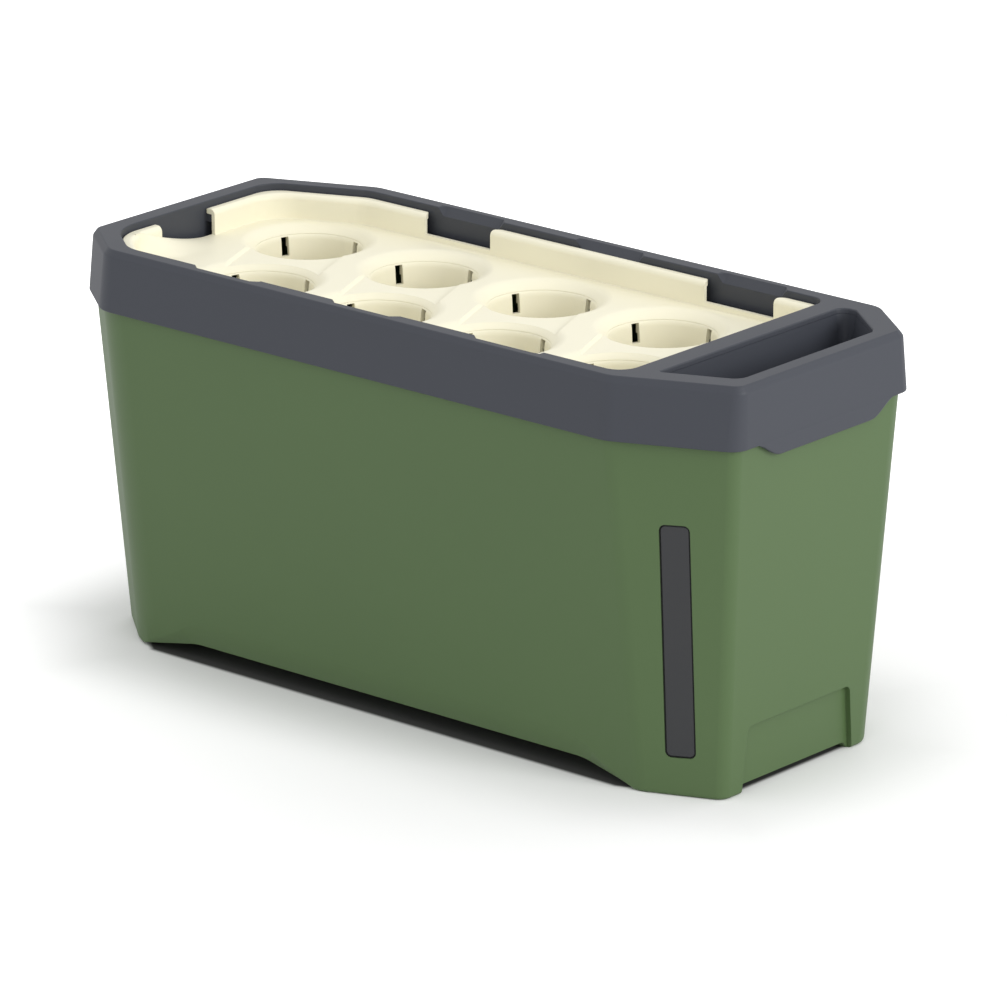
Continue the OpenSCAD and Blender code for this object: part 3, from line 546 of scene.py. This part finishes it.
def tree_of(name, inputs):
    tree = bpy.data.node_groups.new(name, "GeometryNodeTree")
    tree.interface.new_socket("Geometry", in_out="INPUT", socket_type="NodeSocketGeometry")
    for label, kind in inputs:
        tree.interface.new_socket(label, in_out="INPUT", socket_type="NodeSocket" + kind)
    tree.interface.new_socket("Geometry", in_out="OUTPUT", socket_type="NodeSocketGeometry")
    return tree, tree.nodes.new("NodeGroupInput"), tree.nodes.new("NodeGroupOutput")


def grown(solid, tree, values):
    grower = solid.modifiers.new(tree.name, "NODES")
    sockets = {s.name: s.identifier for s in tree.interface.items_tree if s.in_out == "INPUT"}
    for label, value in values.items():
        grower[sockets[label]] = value
    grower.node_group = tree
    for label, value in values.items():
        grower[sockets[label]] = value
    return plain_mesh(solid)


rows_tree, given, made = tree_of("well rows", [("Wells per row", "Int"), ("Pitch", "Float"),
                                               ("Row distance", "Float"), ("Stagger", "Float"),
                                               ("Middle", "Float"), ("Plastic", "Material")])
nodes, links = rows_tree.nodes, rows_tree.links
both_rows = nodes.new("GeometryNodeJoinGeometry")


def sum_of(how, a, b):
    step = nodes.new("ShaderNodeMath")
    step.operation = how
    for socket, value in zip(step.inputs, (a, b)):
        if isinstance(value, (int, float)):
            socket.default_value = value
        else:
            links.new(value, socket)
    return step.outputs[0]


reach = sum_of("MULTIPLY", given.outputs["Pitch"],
               sum_of("MULTIPLY", sum_of("SUBTRACT", given.outputs["Wells per row"], 1), 0.5))
for side in (-0.5, 0.5):
    first = nodes.new("ShaderNodeCombineXYZ")
    step = nodes.new("ShaderNodeCombineXYZ")
    line = nodes.new("GeometryNodeMeshLine")
    links.new(sum_of("SUBTRACT", sum_of("SUBTRACT", given.outputs["Middle"],
                                        sum_of("MULTIPLY", given.outputs["Stagger"], side)), reach),
              first.inputs["X"])
    links.new(sum_of("MULTIPLY", given.outputs["Row distance"], side), first.inputs["Y"])
    links.new(given.outputs["Pitch"], step.inputs["X"])
    links.new(given.outputs["Wells per row"], line.inputs["Count"])
    links.new(first.outputs[0], line.inputs["Start Location"])
    links.new(step.outputs[0], line.inputs["Offset"])
    links.new(line.outputs[0], both_rows.inputs[0])
stand = nodes.new("GeometryNodeInstanceOnPoints")
real = nodes.new("GeometryNodeRealizeInstances")
skinned = nodes.new("GeometryNodeSetMaterial")
links.new(both_rows.outputs[0], stand.inputs["Points"])
links.new(given.outputs["Geometry"], stand.inputs["Instance"])
links.new(stand.outputs[0], real.inputs[0])
links.new(real.outputs[0], skinned.inputs["Geometry"])
links.new(given.outputs["Plastic"], skinned.inputs["Material"])
links.new(skinned.outputs[0], made.inputs[0])

cream = moulded("cream_plastic", (0.90, 0.865, 0.69), (0.885, 0.845, 0.665), 0.42, grain=1500)


def in_rows(solid):
    return grown(solid, rows_tree, {"Wells per row": per_row, "Pitch": well_pitch / 1000,
                                    "Row distance": row_distance / 1000, "Stagger": 0.038,
                                    "Middle": rows_x / 1000, "Plastic": cream})


mouth_round, throat_round = 4.6, 4
well_profile = softened([(mouth_r + 5, deck_top), (mouth_r, deck_top), (throat_r, throat_z),
                         (cup_floor_r, cup_floor)], [mouth_round, throat_round], 8)[1:]
mouth = [(q.x, q.y) for q in well_profile if q.y >= throat_z]
cup_wall = [(q.x, q.y) for q in well_profile if q.y < throat_z]
cup_wall_top, cup_fit, socket_deep, socket_wall = 2.5, 0.08, 9, 1.8
cup_top_r = throat_r + cup_wall_top
socket_r, socket_foot = cup_top_r + cup_fit, throat_z - socket_deep
socket_outer = socket_r + socket_wall
mouths_outside = in_rows(turned([(socket_outer, socket_foot), (socket_outer, throat_z),
                                 (mouth_r + 1.25, deck_top - 1.5)]))
socket = [(socket_r, socket_foot - 1), (socket_r, throat_z), (mouth[-1][0], throat_z)]
mouths_inside = in_rows(turned(socket + mouth[::-1] + [(mouth[0][0], deck_top + 1)]))
foot_fillet = 0.4
deck_edge = [opening_ring(wall_inner + foot_fillet, z, wall_radii)
             for z in (socket_foot - 2, deck_top + 2)]
joined(mouths_inside, [loft(deck_edge)], "INTERSECT")


def slots(low, high, r0, r1, half=3):
    """Cutters for the four slots round each well, between two heights and two radii."""
    cutters = []
    for k in range(4):
        turn = math.radians(70 + 90 * k)
        run, across = Vector((math.cos(turn), math.sin(turn))), Vector((-math.sin(turn), math.cos(turn)))
        outline = [x * run + y * across for x, y in ((r0, -half), (r1, -half), (r1, half), (r0, half))]
        cutters.append(in_rows(loft([flat(outline, low), flat(outline, high)])))
    return cutters


top_slots = (throat_z - 15, throat_z - 1, cup_floor_r, throat_r + 5)


def well_place(row, i):
    x = rows_x - row * stagger / 2 + (i - (per_row - 1) / 2) * well_pitch
    return Vector((x, row * row_distance / 2))


def trenches(t, half=35, depth=2.3):
    made = []
    for i in range(per_row):
        a, b = well_place(-1, i), well_place(1, i)
        run = (b - a).normalized()
        across = Vector((run.y, -run.x))
        edge = half + depth + 1
        profile = [(-half, -depth - t), (-edge, 1 - t), (edge, 1 - t), (half, -depth - t)]
        made.append(loft([[Vector((*(q + across * s), deck_top + z)) for s, z in profile]
                          for q in (a, b)]))
    return made


flange_gap, flange_under_r, flange_top_r = 1, 1.2, 1.4
flange_profile = softened([(flange_gap + 2, lug_top), (flange_gap, lug_top), (flange_gap, insert_top),
                           (flange_gap + 3, insert_top)], [flange_under_r, flange_top_r], 5)
insert = loft([opening_ring(p.x, p.y) for p in flange_profile])
wall = loft([opening_ring(wall_outer, z, wall_radii) for z in (deck_top - 3, lug_top + 1)])
joined(insert, [wall] + trenches(3) + [mouths_outside], "UNION")
roll_reach, roll_height = 4, 4.5
pocket_rings = [(wall_inner + foot_fillet, deck_top), (wall_inner, deck_top + foot_fillet)]
pocket_rings += [(wall_inner + roll_reach * (math.cos(a) - 1),
                  insert_top + roll_height * (math.sin(a) - 1))
                 for a in (math.pi / 2 * k / 8 for k in range(9))]
pocket_rings.append((wall_inner - roll_reach, insert_top + 1))
pocket = loft([opening_ring(t, z, wall_radii) for t, z in pocket_rings])


def gap_end(flare, reach=8):
    """Half of a gap's outline: its end curves outward to the flange's outer edge."""
    arc = [(gap_half + flare * (1 - math.cos(a)), reach * (math.sin(a) - 1) - flange_gap)
           for a in (math.pi / 2 * k / 8 for k in range(9))]
    return [(gap_half, -wall_inner - 1)] + arc + [(gap_half + flare, 1)]


def gap_cut(x, side, low_flare, high_flare):
    outline = gap_end(high_flare) + [(-px, py) for px, py in gap_end(low_flare)[::-1]]
    points = [Vector((x + px, side * (opening_half + py))) for px, py in outline]
    return loft([flat(points[::side], z) for z in (deck_top + sill, insert_top + 4)])


sill, short_flare, long_flare = 4, 6, 12
gaps = []
for gap in gap_places:
    gaps += [gap_cut(gap, 1, short_flare, long_flare),
             gap_cut(2 * rows_x - gap, -1, long_flare, short_flare)]
pour_middle, pour_length = -15.85, 55.7
pour_low, pour_x = pour_middle - pour_length / 2, opening_end + wall_inner
gaps.append(block((pour_x - wall_inner - 1, pour_low, deck_top),
                  (pour_x + 1, pour_low + pour_length, insert_top + 1)))
joined(insert, [pocket] + trenches(0) + [mouths_inside] + slots(*top_slots) + gaps, "DIFFERENCE")


def pour_ring(share, steps=8):
    """The ramp's section at a share of the gap's length: it swells to one side and curls up there."""
    y = pour_low + pour_length * share
    h = min(ramp_most, ramp_height * max(0, 1 - share / 0.85) ** 1.5)
    run = ramp_run * min(1, 1 + share / 0.58)
    back, knee, front, low = pour_x - 3, pour_x + 0.3, pour_x + run, deck_top - 1.5
    slope = [(front + (knee - front) * k / steps, deck_top + h * (k / steps) ** 2)
             for k in range(steps + 1)]
    return [Vector((x, y, z)) for x, z in [(back, low), (front, low)] + slope + [(back, deck_top + h)]]


ramp_height, ramp_most, ramp_run = 10.5, 19, 24
ramp = loft([pour_ring(k / 20) for k in range(20, -11, -1)])
joined(insert, [ramp], "UNION")
finished(insert, "planting_tray", cream, "insert", "planting_insert")

# Well cups
# One slotted cup under each mouth, in the tray's cream plastic. Its leg reaches down into the
# water to draw it up, and its rim carries on the mouth's slope without a step.
cup_thick = 2.5
cup_shell = [(leg_r, leg_foot), (leg_r, cup_floor - cup_thick),
             (cup_floor_r + cup_thick, cup_floor - cup_thick), (cup_top_r - 0.3, socket_foot),
             (cup_top_r, socket_foot + 2), (cup_top_r, throat_z), (mouth[-1][0], throat_z)]
leg_inner = leg_r - cup_thick
cup_hollow = [(leg_inner, leg_foot + cup_thick), (leg_inner, cup_floor), (cup_floor_r, cup_floor)]
cup_hollow += cup_wall[::-1] + [(mouth[-1][0], z) for z in (throat_z, throat_z + 1)]
cups = in_rows(turned(cup_shell))
leg_slots = slots(leg_foot + 5, leg_foot + 65, cup_thick, leg_r + cup_thick)
joined(cups, [in_rows(turned(cup_hollow))] + slots(*top_slots) + leg_slots, "DIFFERENCE")
finished(cups, "cream_cups", cream, "insert", "well_cups")

# Water level window
# A smoked pane with a rounded edge, in the slot from inside. A black rubber lip fills the gap
# round it, a slate frame with six screws clamps it, and the float rides in the frame's channel.
smoke = moulded("smoked_plastic", (0.036, 0.037, 0.040), (0.030, 0.031, 0.034), 0.16,
                grain=700, grain_depth=0.000004, edge=0.0004)
rubber = moulded("seal_rubber", (0.008, 0.008, 0.008), (0.006, 0.006, 0.006), 0.7)
lip_gap, seal_thick, pane_thick, snug = 1.7, 1.5, 2, 0.04
seal_back = seat_back - seal_thick
pane_w, pane_h, pane_r = window_w - lip_gap, window_h - lip_gap, 3.7
pane_edge, pane_face = 1, -0.3
pane = loft([plate_ring(flange_w, flange_h, flange_round, z)
             for z in (seal_back - pane_thick, seal_back)])
face_rings = [plate_ring(pane_w, pane_h, pane_r, seal_back - 0.5)]
for k in range(6):
    a = math.pi / 2 * k / 5
    drawn_in = pane_edge * (1 - math.cos(a))
    face_rings.append(plate_ring(pane_w - 2 * drawn_in, pane_h - 2 * drawn_in, pane_r - drawn_in,
                                 pane_face - pane_edge * (1 - math.sin(a))))
joined(pane, [loft(face_rings)], "UNION")
finished(pane, "pane", smoke, "box", "level_window")
lip = loft([plate_ring(flange_w, flange_h, flange_round, z) for z in (seal_back, seat_back)])
lip_front = loft([plate_ring(window_w - snug, window_h - snug, window_r, z)
                  for z in (seat_back - 0.5, -0.9)])
lip_inside = loft([plate_ring(pane_w + snug, pane_h + snug, pane_r, z) for z in (seal_back - 0.5, 0)])
joined(lip, [lip_front], "UNION")
joined(lip, [lip_inside], "DIFFERENCE")
finished(lip, "window_lip", rubber, "box", "window_seal")


def dressed(node, material):
    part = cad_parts[node]
    for slot in part.material_slots:
        slot.material = material


def steel(name, shade, roughness):
    """Drawn steel: fine lines along the object's height on a bright metal."""
    metal = bpy.data.materials.new(name)
    metal.use_nodes = True
    nodes, links = metal.node_tree.nodes, metal.node_tree.links
    skin = nodes["Principled BSDF"]
    skin.inputs["Metallic"].default_value = 1
    place = nodes.new("ShaderNodeTexCoord").outputs["Object"]
    stretch = nodes.new("ShaderNodeMapping")
    stretch.inputs["Scale"].default_value = (900, 900, 40)
    scratches = nodes.new("ShaderNodeTexNoise")
    scratches.inputs["Scale"].default_value = 2
    tone = nodes.new("ShaderNodeMapRange")
    tone.inputs["To Min"].default_value = roughness - 0.08
    tone.inputs["To Max"].default_value = roughness + 0.08
    skin.inputs["Base Color"].default_value = (*shade, 1)
    links.new(place, stretch.inputs["Vector"])
    links.new(stretch.outputs["Vector"], scratches.inputs["Vector"])
    links.new(scratches.outputs["Fac"], tone.inputs["Value"])
    links.new(tone.outputs["Result"], skin.inputs["Roughness"])
    return metal


dressed("window_frame", slate)
dressed("frame_screws", steel("screw_steel", (0.62, 0.63, 0.65), 0.3))
dressed("level_float", moulded("float_plastic", (0.62, 0.10, 0.018), (0.55, 0.085, 0.015), 0.35))

# Drain plug
# The push-in plug in the recess of the hidden end: slate plastic with a grip wing. A rubber ring
# on its shank seals it in the bore.
dressed("drain_plug", slate)
dressed("plug_seal", rubber)

# Floor and light
# A pale sheet of paper under the planter; it keeps the planter's shadow. To the camera it glows with
# painted light, least near the feet and most to the left, and white far off, and a painted shadow
# darkens it inside the feet. One soft lamp stands to the right.
floor_mesh = bpy.data.meshes.new("floor")
floor_mesh.from_pydata([(-8, -8, 0), (8, -8, 0), (8, 8, 0), (-8, 8, 0)], [], [(0, 1, 2, 3)])
floor = bpy.data.objects.new("floor", floor_mesh)
bpy.context.scene.collection.objects.link(floor)
paper = bpy.data.materials.new("floor_paper")
paper.use_nodes = True
nodes, links = paper.node_tree.nodes, paper.node_tree.links
sheet = nodes["Principled BSDF"]
sheet.inputs["Roughness"].default_value = 0.9
rays = nodes.new("ShaderNodeLightPath")
place = nodes.new("ShaderNodeTexCoord").outputs["Object"]


def vector_step(how, a, b=None):
    step = nodes.new("ShaderNodeVectorMath")
    step.operation = how
    links.new(a, step.inputs[0])
    if b is not None:
        step.inputs[1].default_value = b
    return step.outputs["Value" if how in ("LENGTH", "DOT_PRODUCT") else "Vector"]


def faded(value, start, stop, low, high):
    step = nodes.new("ShaderNodeMapRange")
    step.interpolation_type = "SMOOTHSTEP"
    for label, setting in (("From Min", start), ("From Max", stop), ("To Min", low), ("To Max", high)):
        step.inputs[label].default_value = setting
    links.new(value, step.inputs["Value"])
    return step.outputs["Result"]


# How far a point of the paper lies outside the line of the feet. The line is drawn in a little
# at the ends and the chamfers, where the feet have rounded corners.
from_foot = -1
side_margin, end_margin = 0.001, 0.009
for a, b in zip(foot_plan[:4], foot_plan[1:5]):
    outward = Vector((b.y - a.y, a.x - b.x, 0)).normalized()
    across = sum_of("ABSOLUTE", vector_step("DOT_PRODUCT", place, outward), 0)
    reach = outward.dot(a.to_3d()) / 1000 - (side_margin if abs(outward.y) > 0.99 else end_margin)
    from_foot = sum_of("MAXIMUM", from_foot, sum_of("SUBTRACT", across, reach))
# The second value is the near-black colour of the painted shadow inside the feet.
paper_white, painted_shadow_under_feet = 0.92, 0.05
# Painted light: the paper glows to the camera, weakly near the feet and more to the left, which paints
# the shadow lighter at the left, and it glows white far from the planter.
left_glow = faded(vector_step("DOT_PRODUCT", place, (1, -0.3, 0)), -0.35, 0.3, 0.31, 0.12)
near_glow = sum_of("MULTIPLY", faded(from_foot, 0.012, 0.11, 0, 1), left_glow)
far_glow = faded(vector_step("LENGTH", place), 0.35, 0.9, 0, 0.4)
# Painted shadow: to the camera the paper's colour falls to near black inside the line of the feet.
shade = nodes.new("ShaderNodeMix")
shade.data_type = "RGBA"
shade.inputs["A"].default_value = (paper_white, paper_white, paper_white, 1)
links.new(faded(from_foot, 0, 0.005, painted_shadow_under_feet, paper_white), shade.inputs["B"])
links.new(rays.outputs["Is Camera Ray"], shade.inputs["Factor"])
links.new(shade.outputs["Result"], sheet.inputs["Base Color"])
glow = nodes.new("ShaderNodeEmission")
glow.inputs["Color"].default_value = (1, 1, 1, 1)
both = nodes.new("ShaderNodeAddShader")
lit = sum_of("MULTIPLY", sum_of("ADD", near_glow, far_glow), rays.outputs["Is Camera Ray"])
links.new(lit, glow.inputs["Strength"])
links.new(sheet.outputs[0], both.inputs[0])
links.new(glow.outputs[0], both.inputs[1])
links.new(both.outputs[0], nodes["Material Output"].inputs["Surface"])
floor_mesh.materials.append(paper)

# The room is even and nearly white, and quite white to the camera.
world = bpy.data.worlds.new("studio")
bpy.context.scene.world = world
world.use_nodes = True
nodes, links = world.node_tree.nodes, world.node_tree.links
room = nodes["Background"]
room.inputs["Color"].default_value = (1, 1, 1, 1)
rays = nodes.new("ShaderNodeLightPath")
seen = nodes.new("ShaderNodeMapRange")
seen.inputs["To Min"].default_value = 0.95
seen.inputs["To Max"].default_value = 1.0
links.new(rays.outputs["Is Camera Ray"], seen.inputs["Value"])
links.new(seen.outputs["Result"], room.inputs["Strength"])


key = bpy.data.lights.new("key_lamp", "AREA")
key.shape = "DISK"
key.size = 1.6
key.energy = 50
key_lamp = bpy.data.objects.new("key_lamp", key)
key_lamp.location = (3.4, 0.4, 1.7)
key_lamp.rotation_mode = "QUATERNION"
key_lamp.rotation_quaternion = (Vector((0, 0, 0.15)) - key_lamp.location).to_track_quat("-Z", "Y")
bpy.context.scene.collection.objects.link(key_lamp)

# The camera stands where the photograph was taken from, with a long lens.
lens = bpy.data.cameras.new("camera")
lens.lens = 279.2
lens.clip_end = 100
camera = bpy.data.objects.new("camera", lens)
azimuth, elevation = math.radians(40.638), math.radians(18.226)
away = Vector((math.sin(azimuth) * math.cos(elevation), -math.cos(azimuth) * math.cos(elevation),
               math.sin(elevation)))
aim, distance = Vector((0.00743, 0.00643, 0.130)), 5.528
camera.location = aim + away * distance
camera.rotation_euler = (math.pi / 2 - elevation, 0, azimuth)
bpy.context.scene.collection.objects.link(camera)
bpy.context.scene.camera = camera
bpy.context.scene.view_settings.view_transform = "Standard"
